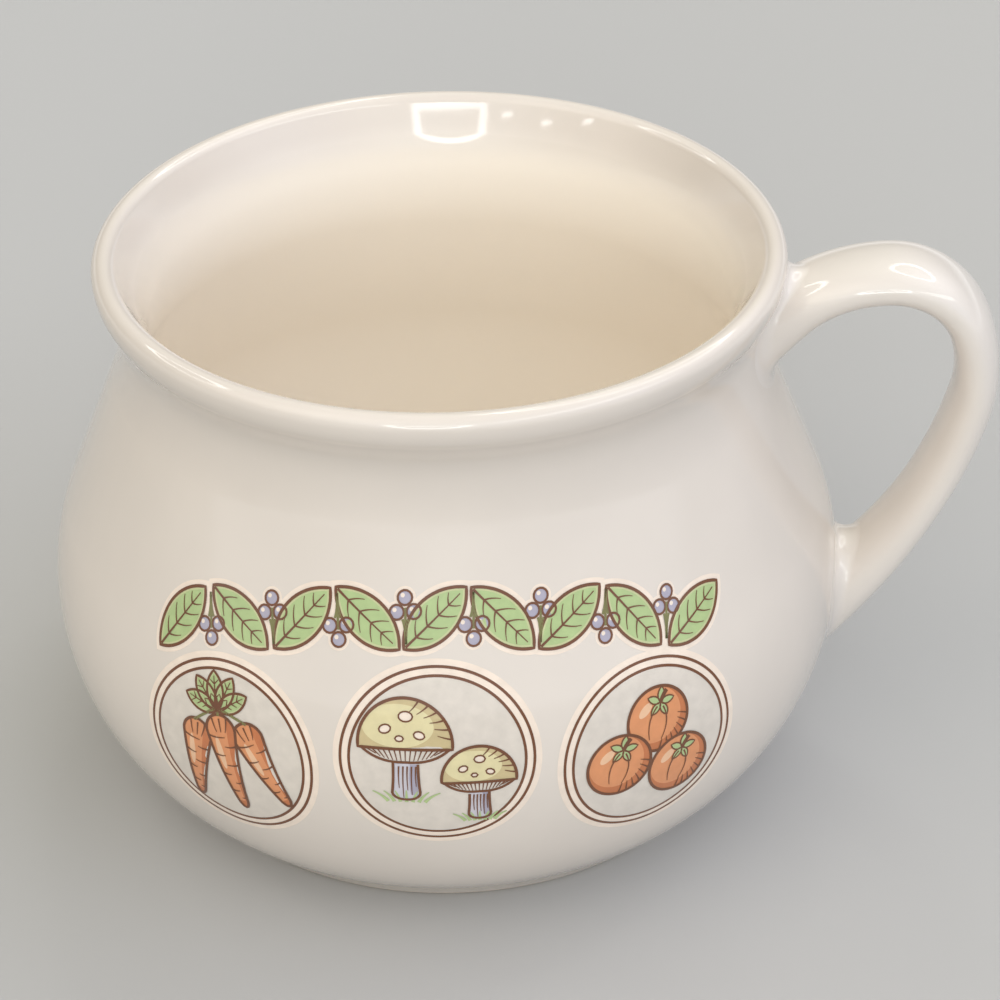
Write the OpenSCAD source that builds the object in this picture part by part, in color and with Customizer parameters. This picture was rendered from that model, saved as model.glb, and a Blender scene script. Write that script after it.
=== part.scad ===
// Handled soup mug of glazed stoneware, with a rolled rim, a round belly, a low foot ring,
// one loop handle luted on with slip, and a fired transfer print on the front of the belly.
// The origin is the centre of the foot on the ground, +Z is up and the handle points along +X.

/* [Bowl] */
// Height of the bowl from the ground to the top of the rim
bowl_h = 93; // [85:1:105]
// Outer diameter of the rim
rim_d = 108; // [104:1:114]
// Outer diameter of the belly where it is widest
belly_d = 128.4; // [124:0.2:134]
// Height of the widest part of the belly
belly_z = 34.5; // [32:0.5:38]
// Radius of the belly's curve below its widest part
belly_low_r = 40; // [38:1:44]
// Radius of the belly's curve above its widest part
belly_high_r = 40; // [34:1:48]
// Lean of the shoulder between belly and neck, in degrees from upright
shoulder_lean = 22; // [18:1:25]
// Depth of the narrowest part of the neck below the rim
neck_drop = 12.5; // [11:0.5:14]
// Radius of the hollow curve from the shoulder into the neck
neck_r = 22.7; // [16:0.1:28]
// Thickness of the clay wall
wall = 4.4; // [3.6:0.2:5.2]
// Thickness of the clay under the bowl's floor
floor_t = 4; // [3:0.5:6]
// Radius of the curve between the inside wall and the floor
floor_r = 18; // [12:1:22]

/* [Rim] */
// Radius of the rim's round top
rim_top_r = 2; // [1.6:0.1:2.4]
// Radius of the rim's outer face where it rolls under
rim_roll_r = 6; // [4:0.5:8]

/* [Foot ring] */
// Outer diameter of the foot ring
foot_d = 94; // [90:1:98]
// Width of the foot ring's resting face
foot_w = 4.2; // [3:0.2:6]
// Depth of the hollow inside the foot ring
foot_hollow = 2.4; // [1.6:0.2:3.2]
// Bevel on both edges of the foot ring
foot_bevel = 0.5; // [0.3:0.1:0.8]

/* [Handle] */
// Width of the strap
strap_w = 15.7; // [13:0.1:18]
// Thickness of the strap at its slimmest
strap_t = 7; // [6:0.1:9]
// Thickness that the strap gains towards its upper end, inside the neck's wall
strap_gain_up = 6.2; // [3:0.1:7]
// Thickness that the strap gains towards its lower end, inside the belly's wall
strap_gain_low = 6; // [3:0.1:7]
// Length over which it swells towards its upper end
strap_swell_up = 24; // [18:1:28]
// Length over which it swells towards its lower end
strap_swell_low = 36; // [26:1:40]
// Distance out from the rim, or the throat if that is wider, to where the strap's centre line starts to bend
strap_out = 1.2; // [0.4:0.1:3]
// Height of that point above the narrowest part of the neck
strap_up = 2.8; // [0:0.1:4]
// Length of the strap inside the neck's wall
strap_root = 4.9; // [4:0.1:5.2]
// Direction in which the strap leaves the neck, in degrees above level
strap_rise = 40; // [34:1:44]
// Length of the strap's slow bend over the top
strap_top_len = 16; // [14:0.5:18]
// Length of its tight bend at the shoulder
strap_bend_len = 16.5; // [15:0.5:18]
// Length of its stretch down the outer side
strap_side_len = 14.8; // [13:0.2:17]
// Length of its long run back to the belly, the part inside the wall included
strap_run_len = 50; // [47:0.5:54]

/* [Slip joints] */
// How far each fillet reaches along the strap from the wall
slip_reach = 6; // [4:0.5:8]
// How far the fillets spread over the wall at each side of the strap
slip_side = 2.4; // [1:0.1:3.2]
// How far the fillets spread over the wall above and below the strap
slip_spread = 1.4; // [0.8:0.1:2]

// Thickness of the fillets at their thin edge
slip_edge = 0.15; // [0.1:0.05:0.3]
// How far the fillets start inside the wall, along the strap
slip_sink = 3.2; // [2.6:0.1:4]

/* [Print] */
// Direction of the middle of the print, in degrees round the axis from the handle
print_turn = -86; // [-100:1:-76]
// Height of the middle of the leaf garland, in the middle of the print
garland_z = 61; // [58:0.5:64]
// Length of one leaf of the garland
leaf_len = 12.6; // [10:0.2:14]
// Height of the middle of the roundels, in the middle of the print
roundel_z = 40; // [37:0.5:42]
// Radius of a roundel's outer line
roundel_r = 14.6; // [12:0.2:15.4]
// How far the print sinks at its sides, 45 degrees round from its middle
print_sink = 9; // [6:0.5:11]
// Thickness of one fired layer of colour
ink_t = 0.1; // [0.08:0.01:0.2]
// Width of a printed line
line_w = 0.7; // [0.5:0.05:1.2]
// Width of the pale edge round each printed motif
halo_w = 0.9; // [0.5:0.05:1.4]

/* [Hidden] */
$fn = 96;
clay = [0.93, 0.91, 0.87];
cover_colour = [0.95, 0.89, 0.80];
green = [0.55, 0.72, 0.42];
brown = [0.50, 0.25, 0.13];
orange = [0.78, 0.45, 0.24];
yellow = [0.90, 0.82, 0.60];
blue = [0.72, 0.75, 0.84];

// Derived places on the bowl's outer profile
belly_r = belly_d / 2;
rim_r = rim_d / 2;
rim_z = bowl_h - rim_top_r;
neck_z = bowl_h - neck_drop;
foot_r = foot_d / 2;
shoulder_r = belly_r - belly_high_r * (1 - cos(shoulder_lean));
shoulder_z = belly_z + belly_high_r * sin(shoulder_lean);
nape_z = neck_z - neck_r * sin(shoulder_lean);
nape_r = shoulder_r - (nape_z - shoulder_z) * tan(shoulder_lean);
throat_r = nape_r - neck_r * (1 - cos(shoulder_lean));
// The rim's roll and the throat's hollow meet at this lean, each tangent to the other
roll_lean = 2 * atan2(rim_r - throat_r, rim_z - neck_z);
throat_curve_r = (rim_z - neck_z) / sin(roll_lean) - rim_roll_r;

// The foot ring's outer face meets the belly's curve a little above the ground
foot_top_r = foot_r + foot_bevel;
foot_lean = acos((foot_top_r - belly_r + belly_low_r) / belly_low_r);

// Derived places on the inside
inner_low_r = belly_low_r - wall;
inner_high_r = belly_high_r - wall;
floor_z = foot_hollow + floor_t;
floor_mid_z = floor_z + floor_r;
floor_mid_r = belly_r - belly_low_r + sqrt(pow(inner_low_r - floor_r, 2) - pow(belly_z - floor_mid_z, 2));
floor_lean = atan2(belly_z - floor_mid_z, floor_mid_r - belly_r + belly_low_r);
// Lean of the mouth's flare, in degrees from upright
mouth_lean = 27;
// The throat's inner curve bulges with the radius of its outer hollow and the wall's thickness
inner_throat_r = throat_r - wall;
mouth_curve_r = throat_curve_r + wall;

// Steps in which the round stretches of the profile are drawn
fine_steps = 24;
curve_steps = 12;
short_steps = 6;

// Points of an arc in the profile plane, angles in degrees from level outwards
function arc(x, z, r, from, to, steps) =
    [for (i = [0:steps]) let (a = from + (to - from) * i / steps) [x + r * cos(a), z + r * sin(a)]];

outer_profile = concat(
    [[foot_r - foot_bevel, 0], [foot_r, foot_bevel]],
    arc(belly_r - belly_low_r, belly_z, belly_low_r, -foot_lean, 0, fine_steps),
    arc(belly_r - belly_high_r, belly_z, belly_high_r, shoulder_lean / curve_steps, shoulder_lean,
        curve_steps - 1),
    arc(throat_r + neck_r, neck_z, neck_r, 180 + shoulder_lean, 180, curve_steps),
    arc(throat_r + throat_curve_r, neck_z, throat_curve_r, 180 - roll_lean / curve_steps,
        180 - roll_lean, curve_steps - 1),
    arc(rim_r - rim_roll_r, rim_z, rim_roll_r, -roll_lean * (1 - 1 / short_steps), 0, short_steps - 1)
);

rim_profile = arc(rim_r - rim_top_r, rim_z, rim_top_r, 180 / fine_steps, 180 - mouth_lean, fine_steps);

inner_profile = concat(
    arc(inner_throat_r + mouth_curve_r, neck_z, mouth_curve_r, 180 - mouth_lean, 180, short_steps),
    arc(inner_throat_r + neck_r + wall, neck_z, neck_r + wall, 180 + shoulder_lean / curve_steps,
        180 + shoulder_lean, curve_steps - 1),
    arc(belly_r - belly_high_r, belly_z, inner_high_r, shoulder_lean, 0, curve_steps),
    arc(belly_r - belly_low_r, belly_z, inner_low_r, -floor_lean / curve_steps, -floor_lean,
        curve_steps - 1),
    arc(floor_mid_r, floor_mid_z, floor_r, -floor_lean - (90 - floor_lean) / curve_steps, -90,
        curve_steps - 1),
    [[0, floor_z]]
);

under_profile = [
    [0, foot_hollow],
    [foot_r - foot_bevel - foot_w - foot_hollow, foot_hollow],
    [foot_r - foot_bevel - foot_w - foot_bevel, foot_bevel],
    [foot_r - foot_bevel - foot_w, 0]
];

module bowl() {
    color(clay)
        rotate_extrude()
            polygon(concat(outer_profile, rim_profile, inner_profile, under_profile));
}

// The bowl's outer form as one solid, which trims what is luted onto it
module bowl_form() {
    rotate_extrude($fn = 360)
        polygon(concat([[0, 0]], outer_profile, [[0, rim_z]]));
}

// Where the strap starts to bend, and its bends, each a length and a turn in degrees
strap_start_x = max(rim_r, throat_r) + strap_out;
strap_start_z = neck_z + strap_up;
strap_lead = (strap_start_x - throat_r) / cos(strap_rise) + strap_root;
strap_bends = [
    [strap_lead, 0],
    [strap_top_len, -37],
    [strap_bend_len, -73],
    [strap_side_len, -34],
    [strap_run_len, -36]
];
strap_len = strap_lead + strap_top_len + strap_bend_len + strap_side_len + strap_run_len;
strap_sides = 20;
strap_rings = 52;

// Where the strap's centre line is after going s along it: distance out, height and heading
function strap_at(s, i = 0, x = strap_start_x - strap_lead * cos(strap_rise),
        z = strap_start_z - strap_lead * sin(strap_rise), h = strap_rise) =
    let (bend = strap_bends[i], last = i == len(strap_bends) - 1,
        go = last ? s : min(s, bend[0]), turn = bend[1] * go / bend[0],
        chord = turn == 0 ? go : go * sin(turn / 2) / (turn / 2 * PI / 180),
        nx = x + chord * cos(h + turn / 2), nz = z + chord * sin(h + turn / 2))
    last || s <= bend[0] ? [nx, nz, h + turn] : strap_at(s - bend[0], i + 1, nx, nz, h + turn);

// Half of the strap's thickness after going s along it
function strap_half(s) =
    let (up = max(0, 1 - s / strap_swell_up), low = max(0, 1 - (strap_len - s) / strap_swell_low))
    strap_t / 2 + strap_gain_up / 2 * up * up + strap_gain_low / 2 * low * low;

// One ring round the strap, widened by side across it and by over in its own plane.
// A skewed ring follows the strap until it stands upright, as the wall does.
function strap_ring(s, side = 0, over = 0, skewed = false) =
    let (mid = strap_at(s))
    [for (i = [0:strap_sides - 1]) let (a = 360 * i / strap_sides,
        reach = skewed ? (strap_half(s) + over) * cos(a) * tan(mid[2]) : 0,
        at = strap_at(s + reach), lift = (strap_half(s + reach) + over) * cos(a))
        [at[0] - sin(at[2]) * lift, (strap_w / 2 + side) * sin(a), at[1] + cos(at[2]) * lift]];

// Triangles between neighbouring rings of n points each
function skin(rings, n, flip = false) =
    [for (j = [0:rings - 2], i = [0:n - 1]) let (k = (i + 1) % n, a = j * n, b = a + n)
        each flip ? [[a + i, b + i, a + k], [a + k, b + i, b + k]]
            : [[a + i, a + k, b + i], [a + k, b + k, b + i]]];

module strap(from = 0, to = strap_len, rings = strap_rings) {
    points = [for (j = [0:rings - 1]) each strap_ring(from + (to - from) * j / (rings - 1))];
    last = (rings - 1) * strap_sides;
    caps = concat(
        [for (i = [1:strap_sides - 2]) [0, i + 1, i]],
        [for (i = [1:strap_sides - 2]) [last, last + i, last + i + 1]]
    );
    polyhedron(points, concat(skin(rings, strap_sides, true), caps));
}

module handle() {
    color(clay)
        difference() {
            strap();
            bowl_form();
        }
}

// A fillet of slip: it hugs the strap, widens towards the wall and thins out along the strap
slip_rings = 9;
module slip_collar(wall_s, way) {
    // wall_s is where the strap's centre line meets the wall, and way is 1 or -1 along the strap
    start = wall_s - way * slip_sink;
    step = way * (slip_reach + slip_sink) / (slip_rings - 1);
    wall_share = slip_reach / (slip_reach + slip_sink);
    outer_points = [for (j = [0:slip_rings - 1])
        let (f = pow((1 - j / (slip_rings - 1)) / wall_share, 2))
        each strap_ring(start + step * j, slip_edge + slip_side * f, slip_edge + slip_spread * f, true)];
    inner_points = [for (j = [0:slip_rings - 1]) each strap_ring(start + step * j, skewed = true)];
    n = strap_sides;
    m = slip_rings * n;
    far = (slip_rings - 1) * n;
    flip = way > 0;
    outer_skin = skin(slip_rings, n, flip);
    inner_skin = [for (f = skin(slip_rings, n, !flip)) [f[0] + m, f[1] + m, f[2] + m]];
    ends = [for (i = [0:n - 1]) let (k = (i + 1) % n)
        each flip ? [[i, i + m, k], [k, i + m, k + m], [far + i, far + k, far + i + m],
            [far + k, far + k + m, far + i + m]]
            : [[i, k, i + m], [k, k + m, i + m], [far + i, far + i + m, far + k],
            [far + k, far + i + m, far + k + m]]];
    difference() {
        polyhedron(concat(outer_points, inner_points), concat(outer_skin, inner_skin, ends));
        bowl_form();
    }
}

// Outer radius of the wall at a height between the ground and the rim's roll
function wall_r(z) =
    z < belly_z ? belly_r - belly_low_r + sqrt(pow(belly_low_r, 2) - pow(belly_z - z, 2))
    : z < shoulder_z ? belly_r - belly_high_r + sqrt(pow(belly_high_r, 2) - pow(z - belly_z, 2))
    : z < nape_z ? shoulder_r - (z - shoulder_z) * tan(shoulder_lean)
    : throat_r + neck_r - sqrt(pow(neck_r, 2) - pow(neck_z - z, 2));

// Where the strap's centre line meets the wall, between a place inside it and one outside
function meet_s(inside, outside, tries = 20) =
    let (middle = (inside + outside) / 2, at = strap_at(middle))
    tries == 0 ? middle
    : at[0] < wall_r(at[1]) ? meet_s(middle, outside, tries - 1)
    : meet_s(inside, middle, tries - 1);
slip_up_s = meet_s(0, strap_lead);
slip_low_s = meet_s(strap_len, strap_len - strap_run_len);

module upper_slip_joint() {
    color(clay)
        slip_collar(slip_up_s, 1);
}

module lower_slip_joint() {
    color(clay)
        slip_collar(slip_low_s, -1);
}

// The shell between two offsets of the belly's outer face, one layer of ink thick
module ink_shell(layer) {
    side = [for (p = outer_profile) if (p[1] > foot_bevel && p[1] < neck_z) p];
    rotate_extrude()
        polygon(concat(
            [for (p = side) [p[0] + layer * ink_t, p[1]]],
            [for (i = [len(side) - 1:-1:0]) [side[i][0] + (layer + 1) * ink_t, side[i][1]]]
        ));
}

// Stands a flat motif upright at an angle round the print and a height in its middle, following its arch
module on_belly(turn, z) {
    depth = belly_r - throat_r;
    lean = -print_sink * 2 * turn / (45 * 45) / (belly_r * PI / 180);
    rotate([0, 0, print_turn + turn])
        translate([throat_r, 0, z - print_sink * pow(turn / 45, 2)])
            rotate([90, 0, 90])
                rotate([0, 0, atan(lean)])
                    linear_extrude(depth + wall)
                        children();
}

// A pointed leaf lying along +X from its stalk at the origin, grown all round by grow
leaf_round_share = 0.64;
leaf_round = leaf_len * leaf_round_share;
leaf_half = leaf_round - sqrt(pow(leaf_round, 2) - pow(leaf_len / 2, 2));
module leaf(size = 1, grow = 0) {
    r = leaf_round * size + grow;
    offset_y = (leaf_round - leaf_half) * size;
    intersection() {
        translate([leaf_len * size / 2, offset_y]) circle(r);
        translate([leaf_len * size / 2, -offset_y]) circle(r);
    }
}

// The garland: leaves in a row, leaning up and down by turns
leaves = 9;
garland_span = 90;
leaf_lean = 43;
module garland(grow = 0) {
    for (i = [0:leaves - 1]) {
        turn = garland_span * ((i + 0.5) / leaves - 0.5);
        on_belly(turn, garland_z)
            rotate([0, 0, i % 2 == 0 ? leaf_lean : -leaf_lean])
                translate([-leaf_len / 2, 0])
                    leaf(1, grow);
    }
}

// The three roundels stand side by side under the garland
roundel_turns = [-30, 0, 30];

module ring_line(r, w) {
    difference() {
        circle(r);
        circle(r - w);
    }
}

// Tapered roots in the first roundel: places of their crowns, lengths and leans
root_shares = [[-0.33, 0.17, 0.86], [0, 0.24, 0.98], [0.33, 0.17, 0.86]];
root_leans = [-17, 0, 17];
root_r_share = 0.18;
root_r = roundel_r * root_r_share;
tip_r_share = 0.3;
tip_len_share = 0.92;
module root_veg(length) {
    circle(root_r);
    polygon([[-root_r, 0], [root_r, 0], [root_r * tip_r_share, -length * tip_len_share], [0, -length],
        [-root_r * tip_r_share, -length * tip_len_share]]);
}

// Their tops: small leaves fanned from one place above the crowns
top_leans = [-66, -33, 0, 33, 66];
top_z_share = 0.46;
top_size_share = 0.48;

// Mushrooms in the second roundel: places and sizes, with a domed cap and a stem under it
mushroom_shares = [[-0.32, 0.2, 0.48], [0.42, -0.2, 0.38]];
cap_cut_share = 0.1;
stem_r_share = 0.3;
stem_gap_share = 0.15;
stem_len_share = 1.2;
module cap(r) {
    difference() {
        circle(r);
        translate([-r, -r * (1 + cap_cut_share)]) square([r * 2, r]);
    }
}
module stem(r) {
    translate([-r * stem_r_share, -r * (stem_gap_share + stem_len_share)])
        square([r * stem_r_share * 2, r * stem_len_share]);
}

// Round fruit in the third roundel: places and radius
fruit_shares = [[-0.36, -0.16], [0.38, -0.22], [0, 0.34]];
fruit_r_share = 0.36;
fruit_r = roundel_r * fruit_r_share;

module print_cover() {
    color(cover_colour)
        intersection() {
            ink_shell(0);
            union() {
                garland(halo_w);
                for (turn = roundel_turns)
                    on_belly(turn, roundel_z) circle(roundel_r + halo_w);
            }
        }
}

module print_green() {
    color(green)
        intersection() {
            ink_shell(1);
            union() {
                garland();
                on_belly(roundel_turns[0], roundel_z)
                    translate([0, roundel_r * top_z_share])
                        for (lean = top_leans)
                            rotate([0, 0, 90 + lean]) leaf(top_size_share);
            }
        }
}

module print_brown() {
    color(brown)
        intersection() {
            ink_shell(1);
            for (turn = roundel_turns)
                on_belly(turn, roundel_z) ring_line(roundel_r, line_w);
        }
}

module print_orange() {
    color(orange)
        intersection() {
            ink_shell(1);
            union() {
                on_belly(roundel_turns[0], roundel_z)
                    for (i = [0:len(root_leans) - 1])
                        translate([root_shares[i][0] * roundel_r, root_shares[i][1] * roundel_r])
                            rotate([0, 0, root_leans[i]]) root_veg(root_shares[i][2] * roundel_r);
                on_belly(roundel_turns[2], roundel_z)
                    for (p = fruit_shares)
                        translate([p[0] * roundel_r, p[1] * roundel_r]) circle(fruit_r);
            }
        }
}

module print_yellow() {
    color(yellow)
        intersection() {
            ink_shell(1);
            on_belly(roundel_turns[1], roundel_z)
                for (p = mushroom_shares)
                    translate([p[0] * roundel_r, p[1] * roundel_r]) cap(p[2] * roundel_r);
        }
}

module print_blue() {
    color(blue)
        intersection() {
            ink_shell(1);
            on_belly(roundel_turns[1], roundel_z)
                for (p = mushroom_shares)
                    translate([p[0] * roundel_r, p[1] * roundel_r]) stem(p[2] * roundel_r);
        }
}

bowl();
handle();
upper_slip_joint();
lower_slip_joint();
print_cover();
print_green();
print_brown();
print_orange();
print_yellow();
print_blue();
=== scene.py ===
"""A handled soup mug of ivory-glazed stoneware with a printed band, on a pale floor in soft light.

Sizes are in millimetres and degrees, and to_metres turns them into Blender's units at the last step.
"""

from math import acos, asin, atan2, ceil, copysign, cos, degrees, hypot, pi, radians, sin, sqrt, tan

import bpy
from mathutils import Matrix, Vector
from mathutils.geometry import delaunay_2d_cdt


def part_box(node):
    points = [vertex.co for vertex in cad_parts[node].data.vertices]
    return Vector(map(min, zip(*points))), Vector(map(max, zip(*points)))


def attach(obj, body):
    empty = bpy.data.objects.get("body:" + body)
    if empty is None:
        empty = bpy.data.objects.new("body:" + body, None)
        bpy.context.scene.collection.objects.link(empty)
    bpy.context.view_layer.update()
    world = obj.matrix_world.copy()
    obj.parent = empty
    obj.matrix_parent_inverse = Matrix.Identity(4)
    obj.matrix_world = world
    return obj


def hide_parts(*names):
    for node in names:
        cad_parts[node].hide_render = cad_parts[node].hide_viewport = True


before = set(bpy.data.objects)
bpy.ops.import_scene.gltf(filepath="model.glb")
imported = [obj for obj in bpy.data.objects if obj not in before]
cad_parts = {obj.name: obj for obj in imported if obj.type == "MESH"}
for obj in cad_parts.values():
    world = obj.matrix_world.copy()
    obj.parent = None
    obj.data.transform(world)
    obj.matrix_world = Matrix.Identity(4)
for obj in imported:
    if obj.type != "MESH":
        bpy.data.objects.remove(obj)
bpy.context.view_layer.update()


def to_metres(point):
    return Vector(point) * 0.001


# The bowl's sizes, the height and the belly's width taken from the frame
bowl_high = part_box("bowl")[1]
bowl_h = bowl_high.z * 1000
belly_r = bowl_high.x * 1000
rim_r = 54
belly_z = 34.5
belly_low_r = 40
belly_high_r = 40
shoulder_lean = radians(22)
neck_drop = 12.5
neck_z = bowl_h - neck_drop
neck_r = 22.7
wall = 4.4
rim_top_r = 2
rim_roll_r = 6
rim_z = bowl_h - rim_top_r
foot_r = 47
foot_w = 4.2
foot_hollow = 2.4
foot_bevel = 0.5
floor_t = 4
floor_z = foot_hollow + floor_t
floor_r = 18
mouth_lean = radians(27)

# Places that follow from them
shoulder_r = belly_r - belly_high_r * (1 - cos(shoulder_lean))
shoulder_z = belly_z + belly_high_r * sin(shoulder_lean)
nape_z = neck_z - neck_r * sin(shoulder_lean)
nape_r = shoulder_r - (nape_z - shoulder_z) * tan(shoulder_lean)
throat_r = nape_r - neck_r * (1 - cos(shoulder_lean))
roll_lean = 2 * atan2(rim_r - throat_r, rim_z - neck_z)
throat_curve_r = (rim_z - neck_z) / sin(roll_lean) - rim_roll_r
foot_lean = acos((foot_r + foot_bevel - belly_r + belly_low_r) / belly_low_r)
inner_throat_r = throat_r - wall
floor_mid_z = floor_z + floor_r
floor_mid_r = belly_r - belly_low_r + sqrt((belly_low_r - wall - floor_r) ** 2 - (belly_z - floor_mid_z) ** 2)
floor_lean = atan2(belly_z - floor_mid_z, floor_mid_r - belly_r + belly_low_r)

# The handle: its strap grows thicker by a gain over a swell's length at either end, and is sunk in the wall
strap_w = 15.7
strap_t = 7
strap_squareness = 2.25
strap_gain_up = 6.2
strap_gain_low = 6
strap_swell_up = 24
strap_swell_low = 36
strap_sunk = 2.5

# Its centre line starts inside the throat, rises straight past a point just outside the rim, and then bends
# in stretches, each with its length and its turn in degrees
strap_in = 4.9
strap_out = 1.2
strap_up = 2.8
strap_start = (rim_r + strap_out, neck_z + strap_up)
strap_rise = radians(40)
strap_lead = (strap_start[0] - throat_r) / cos(strap_rise) + strap_in
strap_bends = [(strap_lead, 0), (16, -37), (16.5, -73), (14.8, -34), (50, -36)]
strap_len = sum(length for length, turn in strap_bends)

# The slip joints: how far each reaches along the strap, spreads on the wall over and under the strap, and
# spreads beside it, then how much more reach, spread and fullness it has on the strap's outer and inner face
slip_fullness = 0.38
upper_slip = [(3.2, 2.2, 3.2), (2, 2.4, 0.35), (0, 0, 0)]
lower_slip = [(3.2, 1.8, 3.6), (0, 0, 0), (2.5, 2, 0.3)]
slip_edge = 0.5
slip_edge_sunk = 0.04
slip_root_sunk = 0.5
slip_start_sunk = 0.06

# The print: its middle is turned to the front, and it has sunk by print_sink at print_sink_turn degrees
print_turn = radians(-86)
print_sink = 9
print_sink_turn = 45
halo_w = 0.9
ink_lift = 0.035
outline_w = 0.46
detail_w = 0.3
garland_z = 61
garland_span = radians(90)
leaves = 9
leaf_len = 12.6
leaf_round_share = 0.64
leaf_lean = radians(43)
leaf_edge_w = 0.5
leaf_vein_shares = (-0.3, -0.12, 0.06, 0.22)
berry_r = 1.05
berry_places = [(-1.25, 0.9), (1.25, 0.9), (0, 2.9)]
berry_halo_w = halo_w * 0.6
stalk_start = 3.6
stalk_hold = 0.4
roundel_z = 40
roundel_r = 14.6
roundel_turns = [radians(-30), 0, radians(30)]
ring_line_w = 0.42
ring_inner_r = 13.1

# The roots: place and length as shares of the roundel, and lean
root_shares = [(-0.33, 0.17, 0.86), (0, 0.24, 0.98), (0.33, 0.17, 0.86)]
root_leans = [-17, 0, 17]
root_order = (0, 2, 1)
root_r = roundel_r * 0.18
tip_r_share = 0.3
tip_len_share = 0.92
crease_shares = (0.06, 0.17, 0.28, 0.4, 0.52, 0.63, 0.74, 0.84)

# The tuft of leaves on top of them
top_leans = [-66, -33, 0, 33, 66]
top_z = roundel_r * 0.46
top_size = 0.48
top_edge_w = 0.35

# The mushrooms: place and cap as shares of the roundel, and parts as shares of the cap, the spots with a tilt
mushroom_shares = [(-0.32, 0.2, 0.48), (0.42, -0.2, 0.38)]
cap_cut_share = 0.1
gill_r_share = 0.93
stem_r_share = 0.3
stem_gap_share = 0.15
stem_len_share = 1.2
stem_shade_shares = ((0.3, 0.45), (0.2, 0.8), (0.32, 1.22), (0.8, 1.24), (0.86, 0.8), (0.8, 0.45))
stem_line_shares = (0.5, 0.72, 0.6, 0.8, 0.55)
cap_hatch = [(0.97, 0.97, 0), (0.86, 0.84, 0.05), (0.72, 0.72, 0.16)]
cap_spots = [(-0.42, 0.34, 0.13, 20), (0.02, 0.62, 0.15, 0), (0.3, 0.22, 0.12, -15), (-0.12, 0.14, 0.09, 0)]

# The round fruit: places as shares of the roundel
fruit_shares = [(-0.36, -0.16), (0.38, -0.22), (0, 0.34)]
fruit_order = (2, 0, 1)
fruit_r = roundel_r * 0.36
fruit_leaf_size = 0.19
fruit_hatch = [(0.97, 0.97, 0), (0.84, 0.84, 0.06), (0.66, 0.66, 0.14)]


# Profile of the bowl

def arc(x, z, r, start, end, steps):
    """Points of an arc in the profile plane, its first one left out."""
    turns = [start + (end - start) * i / steps for i in range(1, steps + 1)]
    return [(x + r * cos(a), z + r * sin(a)) for a in turns]


outer_profile = (
    [(foot_r, foot_bevel), (foot_r + foot_bevel, belly_z - belly_low_r * sin(foot_lean))]
    + arc(belly_r - belly_low_r, belly_z, belly_low_r, -foot_lean, 0, 60)
    + arc(belly_r - belly_high_r, belly_z, belly_high_r, 0, shoulder_lean, 20)
    + arc(throat_r + neck_r, neck_z, neck_r, pi + shoulder_lean, pi, 24)
    + arc(throat_r + throat_curve_r, neck_z, throat_curve_r, pi, pi - roll_lean, 20)
    + arc(rim_r - rim_roll_r, rim_z, rim_roll_r, -roll_lean, 0, 16)
)
rim_profile = arc(rim_r - rim_top_r, rim_z, rim_top_r, 0, pi - mouth_lean, 28)
inner_profile = (
    arc(inner_throat_r + throat_curve_r + wall, neck_z, throat_curve_r + wall, pi - mouth_lean, pi, 20)
    + arc(inner_throat_r + neck_r + wall, neck_z, neck_r + wall, pi, pi + shoulder_lean, 20)
    + arc(belly_r - belly_high_r, belly_z, belly_high_r - wall, shoulder_lean, 0, 20)
    + arc(belly_r - belly_low_r, belly_z, belly_low_r - wall, 0, -floor_lean, 20)
    + arc(floor_mid_r, floor_mid_z, floor_r, -floor_lean, -pi / 2, 24)
    + [(floor_mid_r * share, floor_z) for share in (0.75, 0.5, 0.25)]
)
foot_in_r = foot_r - foot_bevel - foot_w
under_profile = [
    (foot_in_r * 0.5, foot_hollow),
    (foot_in_r - foot_hollow, foot_hollow),
    (foot_in_r - foot_bevel, foot_bevel),
    (foot_in_r, 0),
    (foot_r - foot_bevel, 0),
]


def wall_at(z):
    """The outer wall's radius at a height, and its outward normal in the profile plane."""
    for (r0, z0), (r1, z1) in zip(outer_profile, outer_profile[1:]):
        if z0 <= z <= z1 and z1 > z0:
            share = (z - z0) / (z1 - z0)
            step = hypot(r1 - r0, z1 - z0)
            return r0 + (r1 - r0) * share, ((z1 - z0) / step, (r0 - r1) / step)
    return rim_r, (1, 0)


# Materials

coat_weight = 0.3
plain_gloss = 0.5


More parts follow.
